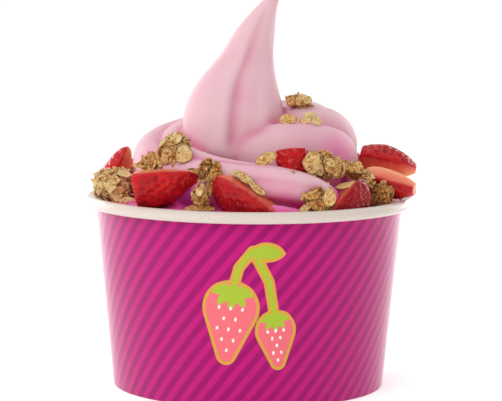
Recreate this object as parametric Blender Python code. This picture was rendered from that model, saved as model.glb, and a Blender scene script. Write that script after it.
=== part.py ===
"""A paper cup of frozen yogurt: a piped star-nozzle swirl, cut strawberries and granola clusters.

Metres, +Z up. The origin is on the cup's axis, at the surface that the cup stands on.
The front, where the swirl's tail lies, faces -Y.
Sizes below are in millimetres, and MM turns them into metres as each mesh is made.
"""
import math

import bmesh
import bpy
import numpy as np

MM = 0.001
GAP = 0.3  # between neighbouring solids
AXIS = 0.01  # radius of a turned profile where it meets the axis

# Cup of printed paperboard: a tapered wall, rolled at the rim and folded in at the foot.
BOARD = 0.5  # thickness of the board
CUP_HEIGHT = 67.3
FOOT_RADIUS = 47.6
RIM_RADIUS = 57.5
ROLL_RADIUS = 2.0
ROLL_SWEEP = 300  # degrees that the rim is rolled round
ROLL_STEPS = 9
HEM_HEIGHT = 5.6  # of the fold that grips the base
HEM_WIDTH = 2.0
BASE_RISE = 6.6  # underside of the base above the table
CUP_SEGMENTS = 48
ROLL_CENTRE = (RIM_RADIUS - ROLL_RADIUS, CUP_HEIGHT - ROLL_RADIUS)
NECK_RADIUS = ROLL_CENTRE[0] - ROLL_RADIUS + BOARD  # outside of the wall below the roll
NECK_HEIGHT = ROLL_CENTRE[1] - 1.3
WALL_SLOPE = (NECK_RADIUS - FOOT_RADIUS) / NECK_HEIGHT

# Frozen yogurt: a fill with a coil and a peak piped on it, as one body.
STAR_LOBES = 5  # ridges that the nozzle leaves round the rope
LOBE_SHARPNESS = 0.6
FOLD_WIDTH = (11, 26)  # degrees, half width of the coil's fold on its outer and inner side
STAR_TWIST = (-45, -92)  # degrees, at the coil's tail and at its end
VOXEL = 1.1
ROPE_GRID = (300, 90)  # rings along the coil, points round each
LIP_GRID = (40, 24)
PEAK_GRID = (200, 120)
FILL_SEGMENTS = 90
KEPT_FACES = 0.021  # share of the fine faces that the coarse solid keeps

# Coil: turn round the cup in degrees, distance from the axis, height, rope radius, depth between two
# ridges as a share of the radius, place of a fold in degrees from the rope's top, depth of the fold.
COIL = [
    (-50, 45.5, 69.8, 2.6, 0.1, -40, 0),
    (-62, 45.0, 72.5, 5.5, 0.12, -40, 0),
    (-75, 42.6, 74.8, 6.1, 0.16, -40, 0),
    (-88, 39.6, 75.2, 7.0, 0.2, -40, 0),
    (-117, 35, 73.8, 10.8, 0.22, -40, 0),
    (-150, 30.5, 74.2, 13.4, 0.22, -40, 0),
    (-187, 27, 77.0, 14.8, 0.22, -40, 0),
    (-231, 25.6, 79.5, 16.0, 0.22, -60, 0),
    (-274, 27, 81.0, 17.0, 0.15, -110, 0),
    (-310, 25, 80.5, 19.0, 0.08, -140, 0),
    (-349, 20, 79.6, 20.0, 0.07, -98, 0.12),
    (-368, 18.3, 79.5, 19.3, 0.05, -56, 0.19),
    (-388, 16.5, 79.5, 18.0, 0.05, -37, 0.21),
    (-430, 14, 80.5, 14.5, 0.06, -28, 0.15),
    (-470, 14, 82.0, 8.0, 0.1, -38, 0.04),
]
# A thin lip under the coil's tail: turn, distance, height, radius.
LIP = [
    (-84, 47.0, 66.8, 2.3),
    (-77, 48.4, 66.4, 2.2),
    (-70, 49.6, 65.6, 1.7),
    (-65, 50.2, 64.6, 1.0),
]
# Peak, in level slices: height, left x, right x, y of the middle.
PEAK = [
    (77, -12, 2, -12),
    (81, -18, 7, -10.5),
    (85, -22.2, 10, -8.5),
    (91, -23.4, 11.5, -6),
    (97, -22.9, 11.6, -4),
    (103, -20.6, 10.3, -2),
    (109, -16.6, 8.9, -1),
    (116, -10.7, 8.1, 0),
    (125, -5.1, 8.6, 0),
    (132, 0.8, 9.2, 0),
    (138, 7.2, 10.6, 0),
    (140.3, 9.9, 11.1, 0),
]
PEAK_DEPTH_RATIO = 0.97  # front-to-back radius over side-to-side
# Flutes of the peak: direction at its foot and at its tip, depth, half width before and after it;
# degrees, 0 is +X.
FLUTES = [
    (-92, -87, 0.17, 6, 28),
    (-70, -50, 0.03, 8, 9),
    (-40, -20, 0.05, 14, 16),
    (-150, -128, 0.04, 18, 18),
    (35, 75, 0.13, 22, 22),
    (100, 125, 0.14, 18, 18),
    (150, 165, 0.09, 12, 12),
]
FLUTE_START = (0.04, 0.2)  # share of the peak's height over which the flutes deepen
# Top of the fill, from the middle outwards: distance from the axis, height.
FILL_TOP = [(AXIS, 70), (20, 69.5), (35, 67.8), (45, 66.3), (53, 65.5)]
FILL_FLOOR = BASE_RISE + BOARD + GAP

# Toppings, each in a pocket of its own in the yogurt.
POCKET_GROWTH = 0.45  # how much wider than a topping its pocket is
BERRY_SHOULDER = 0.36  # share of a berry's length where it is widest
CORE_OFFSET = 0.45  # of a wedge's centre from the berry's axis, as a share of its radius
BERRY_ENDS = (0.015, 0.985)  # shares of a berry's length past which it would come to a point
BERRY_STATIONS = 9
BERRY_ARC = 7  # points across the skin
LUMP = 0.16  # how far a cluster's lumps stand out, as a share of its size
# Cut strawberries. Each row: centre, way the tip points, way the middle of the skin faces,
# length, radius, degrees of skin that are left, and the share of the berry's length that is kept.
STRAWBERRIES = [
    ((-46.0, 7.5, 75.3), (0.4, -0.1, 1.0), (-1.0, 0.0, 0.35), 24, 11, 110, (0.3, 1.0)),
    ((-26.8, -35.6, 75.5), (1.0, -0.06, 0.12), (-0.1, -0.71, -0.7), 43, 13.4, 88, (0.335, 0.885)),
    ((1.5, -43.0, 67.9), (0.82, -0.05, -0.56), (-0.56, -0.34, -0.76), 35, 13.6, 120, (0.02, 0.93)),
    ((14.6, -32.4, 80.8), (0.1, -0.3, -1.0), (0.1, -0.9, 0.3), 18, 7.2, 110, (0.24, 0.8)),
    ((49.0, 6.0, 77.4), (1.0, -0.1, -0.16), (0.1, 0.15, 1.0), 23, 12, 110, (0.08, 0.96)),
    ((48.6, -13.6, 73.1), (0.93, -0.3, -0.2), (0.25, -0.4, -0.88), 22, 10.6, 110, (0.08, 0.92)),
    ((32.8, -33.0, 66.6), (-0.52, -0.66, -0.54), (0.56, -0.54, -0.55), 25, 11.8, 120, (0.03, 0.85)),
    ((37.0, 29.0, 72.4), (-0.6, 0.8, 0.2), (0.7, 0.5, 0.5), 22, 11, 110, (0.08, 0.95)),
    ((22.5, 42.0, 73.5), (-0.3, -0.1, 1.0), (0.4, 0.85, -0.2), 20, 11, 110, (0.3, 1.0)),
    ((-4.0, 46.5, 72.0), (-1.0, 0.1, 0.15), (0.0, 0.8, 0.6), 24, 11, 110, (0.08, 0.92)),
    ((-22.5, 41.5, 73.0), (0.2, -0.2, 1.0), (-0.4, 0.9, 0.2), 21, 11, 110, (0.3, 1.0)),
    ((-36.6, 29.2, 72.6), (-0.6, -0.8, 0.3), (-0.7, 0.6, 0.5), 21, 11, 110, (0.08, 0.95)),
]
# Granola clusters. Each row: centre, half sizes along its own axes, turn about Z, lean about its Y.
GRANOLA = [
    ((-47.0, -10.6, 70.7), (7.0, 6.0, 5.8), 10, 0),
    ((-33.2, -27.0, 80.3), (3.8, 3.2, 3.8), 20, 0),
    ((-25.2, -31.2, 85.6), (5.2, 3.8, 5.2), 30, 20),
    ((-13.5, -42.4, 79.6), (3.1, 2.5, 3.5), 10, 20),
    ((-16.3, -47.2, 71.2), (2.6, 2.4, 3.8), 0, 0),
    ((25.6, -33.2, 80.6), (5.5, 3.1, 4.1), 10, 20),
    ((36.6, -25.0, 77.6), (6.8, 3.0, 2.4), -20, 24),
    ((22.7, -46.0, 69.5), (4.6, 2.9, 4.6), 20, 0),
    ((45.2, -22.4, 68.8), (3.3, 3.3, 5.0), 30, 0),
    ((17.0, -2.0, 100.1), (4.3, 3.2, 2.1), 0, 10),
    ((46.6, 13.4, 68.6), (4.2, 6.0, 3.6), 0, 0),
    ((29.0, 34.3, 81.5), (4.6, 4.0, 4.0), 40, 0),
    ((12.2, 46.3, 70.0), (4.0, 3.8, 4.6), 80, 0),
    ((-13.0, 42.0, 80.8), (4.5, 3.6, 4.2), 100, 0),
    ((-27.6, 35.0, 82.6), (4.4, 3.6, 4.0), 130, 0),
    ((-43.8, 20.3, 69.6), (3.6, 3.5, 4.4), 150, 0),
    ((-14.0, 25.0, 95.5), (5.0, 3.8, 2.8), 30, 0),
]


def smooth(rows, count):
    """Catmull-Rom curve through the rows, as count rows."""
    rows = np.array(rows, float)
    ends = np.vstack([2 * rows[0] - rows[1], rows, 2 * rows[-1] - rows[-2]])
    place = np.linspace(0, len(rows) - 1, count)
    i = np.minimum(place.astype(int), len(rows) - 2)
    t = (place - i)[:, None]
    a, b, c, d = ends[i], ends[i + 1], ends[i + 2], ends[i + 3]
    return 0.5 * (2 * b + (c - a) * t + (2 * a - 5 * b + 4 * c - d) * t**2
                  + (3 * b - a - 3 * c + d) * t**3)


def crossways(path):
    """Two unit vectors at right angles to the path, carried along it without turning."""
    tangent = np.gradient(path, axis=0)
    tangent /= np.linalg.norm(tangent, axis=1)[:, None]
    normal = np.zeros_like(path)
    v = np.array([0, 0, 1.0])
    for k, t in enumerate(tangent):
        v = v - t * (v @ t)
        v /= np.linalg.norm(v)
        normal[k] = v
    return normal, np.cross(tangent, normal)


def bell(angle, middle, before, after):
    """A bell round an angle, 1 at its middle, with a half width in degrees on either side."""
    off = np.angle(np.exp(1j * (angle - middle)))
    return np.exp(-(off / np.radians(np.where(off < 0, before, after))) ** 2)


def rope_grid(rows, along, around):
    """A piped rope: a star-shaped section with one fold, that shrinks, swells and twists along a spiral."""
    turn, out, height, radius, depth, fold, fold_depth = smooth(rows, along).T
    turn = np.radians(turn)
    path = np.stack([out * np.cos(turn), out * np.sin(turn), height], -1)
    normal, side = crossways(path)
    angle = np.linspace(0, 2 * np.pi, around, endpoint=False)
    twist = np.radians(np.linspace(*STAR_TWIST, along))
    ridge = np.abs(np.cos(STAR_LOBES * (angle[None] - twist[:, None]) / 2)) ** LOBE_SHARPNESS
    crease = bell(angle[None], np.radians(fold)[:, None], *FOLD_WIDTH)
    r = radius[:, None] * (1 - depth[:, None] * (1 - ridge) - fold_depth[:, None] * crease)
    across = np.cos(angle)[None, :, None] * normal[:, None] + np.sin(angle)[None, :, None] * side[:, None]
    return path[:, None] + r[..., None] * across


def peak_grid(along, around):
    """The peak: level slices between its left and right outline, each cut by the flutes."""
    z, left, right, middle = smooth(PEAK, along).T
    angle = np.linspace(0, 2 * np.pi, around, endpoint=False)
    rise = ((z - z[0]) / (z[-1] - z[0]))[:, None]
    r = np.ones((along, around))
    start = np.clip((rise - FLUTE_START[0]) / (FLUTE_START[1] - FLUTE_START[0]), 0, 1)
    for foot, tip, depth, before, after in FLUTES:
        place = np.radians(foot + (tip - foot) * rise)
        r -= depth * start**2 * (3 - 2 * start) * bell(angle[None], place, before, after)
    half = ((right - left) / 2)[:, None]
    x = ((left + right) / 2)[:, None] + half * r * np.cos(angle)
    y = middle[:, None] + half * PEAK_DEPTH_RATIO * r * np.sin(angle)
    return np.stack([x, y, np.broadcast_to(z[:, None], x.shape)], -1)


def turned_grid(profile, segments):
    """A profile of (radius, height) rows turned about the Z axis."""
    r, z = np.array(profile, float).T
    angle = np.linspace(0, 2 * np.pi, segments, endpoint=False)
    x, y = r[:, None] * np.cos(angle), r[:, None] * np.sin(angle)
    return np.stack([x, y, np.broadcast_to(z[:, None], x.shape)], -1)


def berry_radius(s):
    """Radius of a whole strawberry at share s of its length, as a share of its largest."""
    shoulder = 1 - np.clip(1 - s / BERRY_SHOULDER, 0, 1) ** 2.4
    tip = 1 - np.clip((s - BERRY_SHOULDER) / (1 - BERRY_SHOULDER), 0, 1) ** 1.9
    return np.clip(shoulder, 0, 1) ** 0.5 * np.clip(tip, 0, 1) ** 0.62


def berry_grid(centre, tip, skin, length, radius, sweep, kept, growth=0.0):
    """A wedge of strawberry: an arc of skin and two cut faces that meet on the berry's axis."""
    x_axis = np.array(tip, float) / np.linalg.norm(tip)
    z_axis = np.array(skin, float) - x_axis * np.dot(skin, x_axis)
    z_axis /= np.linalg.norm(z_axis)
    y_axis = np.cross(z_axis, x_axis)
    s = np.linspace(max(kept[0], BERRY_ENDS[0]), min(kept[1], BERRY_ENDS[1]), BERRY_STATIONS)[:, None]
    arc = np.radians(np.linspace(-sweep / 2, sweep / 2, BERRY_ARC))
    outline = np.vstack([np.stack([np.sin(arc), np.cos(arc)], -1), [0, 0]]) - [0, CORE_OFFSET]
    half_thickness = 0.5 * radius * math.sin(math.radians(min(sweep, 90) / 2))
    r = radius * berry_radius(s) * (1 + growth / half_thickness)
    along = (s - sum(kept) / 2) * (length + 4 * growth)
    return (np.array(centre, float) + along[..., None] * x_axis
            + (r * outline[:, 0])[..., None] * y_axis + (r * outline[:, 1])[..., None] * z_axis)


def mesh_object(name, vertices, faces, material):
    """An object of its own for a mesh given in millimetres."""
    mesh = bpy.data.meshes.new(name)
    mesh.from_pydata((np.asarray(vertices) * MM).tolist(), [], faces)
    mesh.materials.append(material)
    thing = bpy.data.objects.new(name, mesh)
    bpy.context.scene.collection.objects.link(thing)
    return thing


def grid_faces(grid, ring=False):
    """Faces over a grid that closes across its rows; its ends are capped, or joined as a ring."""
    rows, across = grid.shape[:2]
    i = np.arange(rows if ring else rows - 1)[:, None]
    j = np.arange(across)[None]
    below, above = i * across, (i + 1) % rows * across
    quads = np.stack(np.broadcast_arrays(
        below + j, below + (j + 1) % across, above + (j + 1) % across, above + j), -1)
    faces = quads.reshape(-1, 4).tolist()
    vertices = grid.reshape(-1, 3)
    if not ring:
        first, last = len(vertices), len(vertices) + 1
        vertices = np.vstack([vertices, grid[0].mean(axis=0), grid[-1].mean(axis=0)])
        top = (rows - 1) * across
        faces += [[first, (k + 1) % across, k] for k in range(across)]
        faces += [[last, top + k, top + (k + 1) % across] for k in range(across)]
    if signed_volume(vertices, faces) < 0:
        faces = [face[::-1] for face in faces]
    return vertices, faces


def signed_volume(vertices, faces):
    """Six times the volume inside the faces: negative where they point inwards."""
    fans = np.array([(f[0], f[k], f[k + 1]) for f in faces for k in range(1, len(f) - 1)])
    a, b, c = vertices[fans[:, 0]], vertices[fans[:, 1]], vertices[fans[:, 2]]
    return float(np.einsum("ij,ij->i", a, np.cross(b, c)).sum())


def solid(name, material, *grids, ring=False):
    """One object out of closed grids; grids that overlap wait for a remesh to join them."""
    vertices, faces, count = [], [], 0
    for grid in grids:
        v, f = grid_faces(grid, ring)
        faces += [[k + count for k in face] for face in f]
        vertices.append(v)
        count += len(v)
    return mesh_object(name, np.vstack(vertices), faces, material)


def cluster(name, material, centre, half, turn, lean, growth=0.0):
    """A lumpy cluster of oats: a ball pressed to its half sizes, with lumps of sine waves."""
    shape = bmesh.new()
    bmesh.ops.create_icosphere(shape, subdivisions=2, radius=1)
    turn, lean = math.radians(turn), math.radians(lean)
    lift = np.array([[math.cos(lean), 0, math.sin(lean)], [0, 1, 0], [-math.sin(lean), 0, math.cos(lean)]])
    spin = np.array([[math.cos(turn), -math.sin(turn), 0], [math.sin(turn), math.cos(turn), 0], [0, 0, 1]])
    way = np.array([v.co[:] for v in shape.verts])
    lumps = np.sin(way @ [5.1, 2.3, 3.7] + centre[0]) + np.sin(way @ [-3.1, 4.4, 2.9] + centre[1])
    placed = way * (1 + LUMP * lumps / 2)[:, None] * (np.array(half, float) + growth)
    placed = placed @ lift.T @ spin.T + np.array(centre, float)
    for v, place in zip(shape.verts, placed):
        v.co = place * MM
    mesh = bpy.data.meshes.new(name)
    shape.to_mesh(mesh)
    shape.free()
    mesh.materials.append(material)
    thing = bpy.data.objects.new(name, mesh)
    bpy.context.scene.collection.objects.link(thing)
    return thing


def finish(name, colour, roughness):
    """A plain material."""
    material = bpy.data.materials.new(name)
    material.use_nodes = True
    shader = material.node_tree.nodes["Principled BSDF"]
    shader.inputs["Base Color"].default_value = (*colour, 1)
    shader.inputs["Roughness"].default_value = roughness
    shader.inputs["Metallic"].default_value = 0
    return material


def cutter(thing):
    """Marks an object as a cutting tool that isn't part of the model."""
    thing.hide_render = True
    thing.display_type = "WIRE"
    return thing


def shade(thing, angle=40):
    """Smooth shading, with edges sharper than the angle kept."""
    thing.data.shade_smooth()
    thing.data.set_sharp_from_angle(angle=math.radians(angle))


def boolean(thing, name, operation, tool):
    """An exact Boolean with one object."""
    step = thing.modifiers.new(name, "BOOLEAN")
    step.operation = operation
    step.solver = "EXACT"
    step.object = tool


def wall_outside(z):
    """Radius of the cup's outside at height z."""
    return FOOT_RADIUS + WALL_SLOPE * z


def make_cup_wall(material):
    """One strip of board: outside, up into the rolled rim, down the inside and round the hem."""
    steps = np.radians(np.linspace(180, 180 - ROLL_SWEEP, ROLL_STEPS))
    r0, z0 = ROLL_CENTRE
    inner = ROLL_RADIUS - BOARD
    roll_in = [(r0 + inner * math.cos(a), z0 + inner * math.sin(a)) for a in steps]
    roll_out = [(r0 + ROLL_RADIUS * math.cos(a), z0 + ROLL_RADIUS * math.sin(a)) for a in steps[::-1]]
    leg = FOOT_RADIUS - HEM_WIDTH
    hem_lean = WALL_SLOPE * HEM_HEIGHT
    profile = [(FOOT_RADIUS, 0), (NECK_RADIUS, NECK_HEIGHT)] + roll_in + roll_out
    profile += [
        (NECK_RADIUS - BOARD, NECK_HEIGHT),
        (wall_outside(BOARD) - BOARD, BOARD),
        (leg + BOARD, BOARD),
        (leg + BOARD + hem_lean, HEM_HEIGHT),
        (leg + hem_lean, HEM_HEIGHT),
        (leg, 0),
    ]
    wall = solid("cup_wall", material, turned_grid(profile, CUP_SEGMENTS), ring=True)
    shade(wall)


def make_cup_base(material):
    """A disc with a skirt that hangs in the wall's hem."""
    low = BOARD + GAP
    reach = wall_outside(BASE_RISE) - BOARD - GAP
    foot = wall_outside(low) - BOARD - GAP
    profile = [
        (AXIS, BASE_RISE),
        (reach - BOARD, BASE_RISE),
        (foot - BOARD, low),
        (foot, low),
        (reach + WALL_SLOPE * BOARD, BASE_RISE + BOARD),
        (AXIS, BASE_RISE + BOARD),
    ]
    base = solid("cup_base", material, turned_grid(profile, CUP_SEGMENTS))
    shade(base)


def make_yogurt(material, toppings):
    """Fill, coil and peak melted into one body, cut to the cup's inside and round the toppings."""
    low = [(AXIS, 0), (FOOT_RADIUS, 0), (NECK_RADIUS + 1, NECK_HEIGHT)]
    fill = turned_grid(low + FILL_TOP[::-1], FILL_SEGMENTS)
    lip = [row + (0, 0, 0) for row in LIP]  # a plain round rope
    ropes = [rope_grid(COIL, *ROPE_GRID), rope_grid(lip, *LIP_GRID)]
    yogurt = solid("frozen_yogurt", material, fill, *ropes, peak_grid(*PEAK_GRID))
    melt = yogurt.modifiers.new("melt together", "REMESH")
    melt.mode = "VOXEL"
    melt.voxel_size = VOXEL * MM
    soften = yogurt.modifiers.new("soften", "SMOOTH")
    soften.factor = 0.5
    soften.iterations = 3
    thin = yogurt.modifiers.new("coarsen", "DECIMATE")
    thin.ratio = KEPT_FACES
    above = PEAK[-1][0] + 10
    inside = [
        (AXIS, FILL_FLOOR),
        (wall_outside(FILL_FLOOR) - BOARD - GAP, FILL_FLOOR),
        (NECK_RADIUS - BOARD - GAP, NECK_HEIGHT),
        (NECK_RADIUS - BOARD - GAP, above),
        (AXIS, above),
    ]
    room = cutter(solid("room in the cup", material, turned_grid(inside, CUP_SEGMENTS)))
    boolean(yogurt, "fit the cup", "INTERSECT", room)
    for n, topping in enumerate(toppings):
        boolean(yogurt, f"pocket {n + 1}", "DIFFERENCE", topping)
    shade(yogurt, 60)


def main():
    for thing in list(bpy.data.objects):
        bpy.data.objects.remove(thing, do_unlink=True)
    print_board = finish("printed paperboard", (0.40, 0.015, 0.15), 0.35)
    white_board = finish("white paperboard", (0.85, 0.84, 0.80), 0.5)
    cream = finish("berry frozen yogurt", (0.80, 0.45, 0.57), 0.4)
    fruit = finish("strawberry", (0.55, 0.01, 0.015), 0.3)
    oats = finish("granola", (0.55, 0.36, 0.15), 0.7)
    make_cup_wall(print_board)
    make_cup_base(white_board)
    pockets = []
    for n, row in enumerate(STRAWBERRIES, 1):
        shade(solid(f"strawberry_{n:02d}", fruit, berry_grid(*row)))
        pockets.append(cutter(solid(f"pocket of strawberry {n}", fruit, berry_grid(*row, POCKET_GROWTH))))
    for n, row in enumerate(GRANOLA, 1):
        shade(cluster(f"granola_{n:02d}", oats, *row), 80)
        pockets.append(cutter(cluster(f"pocket of granola {n}", oats, *row, POCKET_GROWTH)))
    make_yogurt(cream, pockets)


main()
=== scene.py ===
import math

import bpy
import numpy as np
from mathutils import Matrix, Vector
from mathutils.bvhtree import BVHTree


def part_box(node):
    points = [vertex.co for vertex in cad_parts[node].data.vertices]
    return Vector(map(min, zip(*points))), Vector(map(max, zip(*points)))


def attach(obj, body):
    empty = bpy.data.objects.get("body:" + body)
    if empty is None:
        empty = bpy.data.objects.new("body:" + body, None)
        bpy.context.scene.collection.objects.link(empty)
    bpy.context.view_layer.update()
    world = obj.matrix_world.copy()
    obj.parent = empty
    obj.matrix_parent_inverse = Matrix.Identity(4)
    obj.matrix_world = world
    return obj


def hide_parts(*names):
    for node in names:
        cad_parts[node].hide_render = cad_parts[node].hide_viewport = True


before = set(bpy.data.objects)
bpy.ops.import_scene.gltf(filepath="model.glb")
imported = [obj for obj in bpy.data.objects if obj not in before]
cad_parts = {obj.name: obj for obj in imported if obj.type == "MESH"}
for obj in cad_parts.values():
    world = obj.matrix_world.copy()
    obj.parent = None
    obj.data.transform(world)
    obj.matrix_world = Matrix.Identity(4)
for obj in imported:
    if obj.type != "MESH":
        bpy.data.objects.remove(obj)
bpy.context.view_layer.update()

mm = 0.001  # every size below is in millimetres
fullTurn = 2 * math.pi


# ---- small tools ----

def linear(colour):
    # sRGB hex to linear light: a straight line near black, a 2.4 power above it
    parts = [int(colour[k:k + 2], 16) / 255 for k in (1, 3, 5)]
    return [c / 12.92 if c <= 0.04045 else ((c + 0.055) / 1.055) ** 2.4 for c in parts] + [1.0]


def addNode(material, kind, inputs=None, stops=None, **settings):
    # One shader node: inputs are values or other nodes' sockets, stops are a ramp's places and colours
    tree = material.node_tree
    node = tree.nodes.new("ShaderNode" + kind)
    for key, value in settings.items():
        setattr(node, key, value)
    for key, value in (inputs or {}).items():
        if isinstance(value, bpy.types.NodeSocket):
            tree.links.new(value, node.inputs[key])
        else:
            node.inputs[key].default_value = value
    for n, (place, colour) in enumerate(stops or []):
        ramp = node.color_ramp.elements
        point = ramp[n] if n < 2 else ramp.new(place)
        point.position, point.color = place, linear(colour)
    return node


def newMaterial(name, **sockets):
    # A Principled material whose constants are set straight on the shader's sockets
    material = bpy.data.materials.new(name)
    material.use_nodes = True
    shader = material.node_tree.nodes["Principled BSDF"]
    for key, value in sockets.items():
        shader.inputs[key.replace("_", " ")].default_value = value
    return material, shader


def unit(v):
    # A vector, or each row of an array, divided by its length
    v = np.asarray(v, float)
    return v / np.maximum(np.linalg.norm(v, axis=-1, keepdims=True), 1e-9)


def smoothStep(low, high, x):
    # 0 below low, 1 above high, and 3t^2 - 2t^3 between them
    t = np.clip((x - low) / (high - low), 0, 1)
    return t * t * (3 - 2 * t)


def curveThrough(rows, count):
    # Catmull-Rom curve: a cubic between each two rows, whose slope at a row is half the step past it
    rows = np.array(rows, float)
    ends = np.vstack([2 * rows[0] - rows[1], rows, 2 * rows[-1] - rows[-2]])
    place = np.linspace(0, len(rows) - 1, count)
    i = np.minimum(place.astype(int), len(rows) - 2)
    t = (place - i)[:, None]
    a, b, c, d = ends[i], ends[i + 1], ends[i + 2], ends[i + 3]
    return 0.5 * (2 * b + (c - a) * t + (2 * a - 5 * b + 4 * c - d) * t**2
                  + (3 * b - a - 3 * c + d) * t**3)


def gridFaces(rows, columns, loopRows=False):
    # Quads between neighbouring rows and columns of a grid whose columns close in a ring
    i = np.arange(rows if loopRows else rows - 1)[:, None]
    j = np.arange(columns)[None]
    up, across = (i + 1) % rows, (j + 1) % columns
    corners = np.broadcast_arrays(i * columns + j, i * columns + across, up * columns + across, up * columns + j)
    return np.stack(corners, -1).reshape(-1, 4)


def closedTube(grid):
    # A grid of rings closed with a fan of triangles to the middle of its first and of its last ring
    rows, columns = grid.shape[:2]
    points = np.vstack([grid.reshape(-1, 3), grid[0].mean(0), grid[-1].mean(0)])
    k = np.arange(columns)
    after, top, first = (k + 1) % columns, (rows - 1) * columns, rows * columns
    caps = np.stack([np.full(columns, first), after, k], -1).tolist()
    caps += np.stack([np.full(columns, first + 1), top + k, top + after], -1).tolist()
    return points, facingOut(points, gridFaces(rows, columns).tolist() + caps)


def facingOut(points, faces):
    # Turns every face round where the signed volume, a sum of corner-to-corner wedges, is negative
    corners = np.array([(f[0], f[k], f[k + 1]) for f in faces for k in range(1, len(f) - 1)])
    a, b, c = points[corners[:, 0]], points[corners[:, 1]], points[corners[:, 2]]
    if np.einsum("ij,ij->i", a, np.cross(b, c)).sum() < 0:
        faces = [face[::-1] for face in faces]
    return faces


def joined(parts):
    # Several (points, faces, values) as one; values is a dictionary of one number for each point
    points, faces, count = [], [], 0
    names = sorted({name for part in parts for name in part[2]})
    values = {name: [] for name in names}
    for p, f, v in parts:
        points.append(p)
        faces += [[k + count for k in face] for face in f]
        for name in names:
            values[name].append(np.broadcast_to(v.get(name, 0.0), len(p)))
        count += len(p)
    return np.vstack(points), faces, {name: np.concatenate(v) for name, v in values.items()}


def addPiece(name, points, faces, materials, values=None, replaced=(), smooth=True):
    # A mesh object at the origin, riding on the cup's body, with one float attribute for each of values
    mesh = bpy.data.meshes.new(name)
    mesh.from_pydata((points * mm).tolist(), [], faces)
    for material in materials:
        mesh.materials.append(material)
    for key, value in (values or {}).items():
        mesh.attributes.new(key, "FLOAT", "POINT").data.foreach_set("value", np.asarray(value, np.float32))
    mesh.polygons.foreach_set("use_smooth", [smooth] * len(mesh.polygons))
    mesh.update()
    piece = bpy.data.objects.new(name, mesh)
    bpy.context.scene.collection.objects.link(piece)
    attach(piece, "root")
    if replaced:
        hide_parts(*replaced)
    return piece


# ---- camera and light ----

cameraView = {"distance": 850, "height": 161.3, "sideways": 0.59, "lookDown": 6.474, "roll": -0.446, "lens": 174.1}
studio = {
    "surround": 0.80, "front": 0.24,  # brightness of the white surround, and of the room behind the camera
    "key": 2.4, "edgeLeft": 1.0, "edgeRight": 0.85,  # watts of the soft boxes
    "floorGlow": 0.40,
}


def makeCamera():
    # Behind the origin along -Y at eye height, tipped down, then rolled about its own axis
    lens = bpy.data.cameras.new("camera")
    lens.sensor_width, lens.lens = 36, cameraView["lens"]
    lens.clip_start, lens.clip_end = 0.01, 50
    camera = bpy.data.objects.new("camera", lens)
    bpy.context.scene.collection.objects.link(camera)
    place = Vector((cameraView["sideways"], -cameraView["distance"], cameraView["height"])) * mm
    tip = Matrix.Rotation(math.radians(90 - cameraView["lookDown"]), 4, "X")
    roll = Matrix.Rotation(math.radians(-cameraView["roll"]), 4, "Z")
    camera.matrix_world = Matrix.Translation(place) @ tip @ roll
    bpy.context.scene.camera = camera
    bpy.context.scene.view_settings.view_transform = "Standard"


def makeStudio():
    # A white surround that is a little dimmer as a light than as a backdrop, and soft boxes round the cup
    world = bpy.data.worlds.new("white studio")
    bpy.context.scene.world = world
    world.use_nodes = True
    tree = world.node_tree
    tree.nodes.clear()
    way = tree.nodes.new("ShaderNodeTexCoord")
    axes = tree.nodes.new("ShaderNodeSeparateXYZ")
    dim = tree.nodes.new("ShaderNodeMapRange")
    dim.interpolation_type = "SMOOTHSTEP"
    dim.inputs["From Min"].default_value, dim.inputs["From Max"].default_value = -0.95, -0.05
    dim.inputs["To Min"].default_value, dim.inputs["To Max"].default_value = studio["front"], studio["surround"]
    rays = tree.nodes.new("ShaderNodeLightPath")
    mix = tree.nodes.new("ShaderNodeMix")
    mix.inputs[3].default_value = 1.0
    white = tree.nodes.new("ShaderNodeBackground")
    out = tree.nodes.new("ShaderNodeOutputWorld")
    tree.links.new(way.outputs["Generated"], axes.inputs[0])
    tree.links.new(axes.outputs["Y"], dim.inputs["Value"])
    tree.links.new(dim.outputs[0], mix.inputs[2])
    tree.links.new(rays.outputs["Is Camera Ray"], mix.inputs[0])
    tree.links.new(mix.outputs[0], white.inputs["Strength"])
    tree.links.new(white.outputs[0], out.inputs["Surface"])
    white.inputs["Color"].default_value = (1, 1, 1, 1)
    target = Vector((0, 0, 85 * mm))
    boxes = {
        "key": ((-260, -500, 560), (420, 420), studio["key"]),
        "edgeLeft": ((-355, 320, 150), (380, 300), studio["edgeLeft"]),
        "edgeRight": ((330, 370, 150), (380, 300), studio["edgeRight"]),
    }
    for name, (place, size, power) in boxes.items():
        lamp = bpy.data.lights.new(name, "AREA")
        lamp.shape, lamp.size, lamp.size_y, lamp.energy = "RECTANGLE", size[0] * mm, size[1] * mm, power
        holder = bpy.data.objects.new(name, lamp)
        holder.location = Vector(place) * mm
        holder.rotation_mode = "QUATERNION"
        holder.rotation_quaternion = (holder.location - target).to_track_quat("Z", "Y")
        bpy.context.scene.collection.objects.link(holder)
    floorMaterial, shader = newMaterial("white painted floor", Roughness=0.7, Emission_Color=(1, 1, 1, 1),
                                        Emission_Strength=studio["floorGlow"])
    cloud = addNode(floorMaterial, "TexNoise", {"Scale": 3.0})
    tone = addNode(floorMaterial, "ValToRGB", {0: cloud.outputs[0]}, [(0.3, "#F1F0EE"), (0.7, "#F6F5F3")])
    floorMaterial.node_tree.links.new(tone.outputs[0], shader.inputs["Base Color"])
    reach = 6000
    corners = np.array([(-reach, -reach, 0), (reach, -reach, 0), (reach, reach, 0), (-reach, reach, 0)]) * mm
    mesh = bpy.data.meshes.new("floor")
    mesh.from_pydata((corners - [0, 0, 0.05 * mm]).tolist(), [], [[0, 1, 2, 3]])
    mesh.materials.append(floorMaterial)
    floor = bpy.data.objects.new("floor", mesh)
    bpy.context.scene.collection.objects.link(floor)


# ---- paper cup ----

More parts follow.
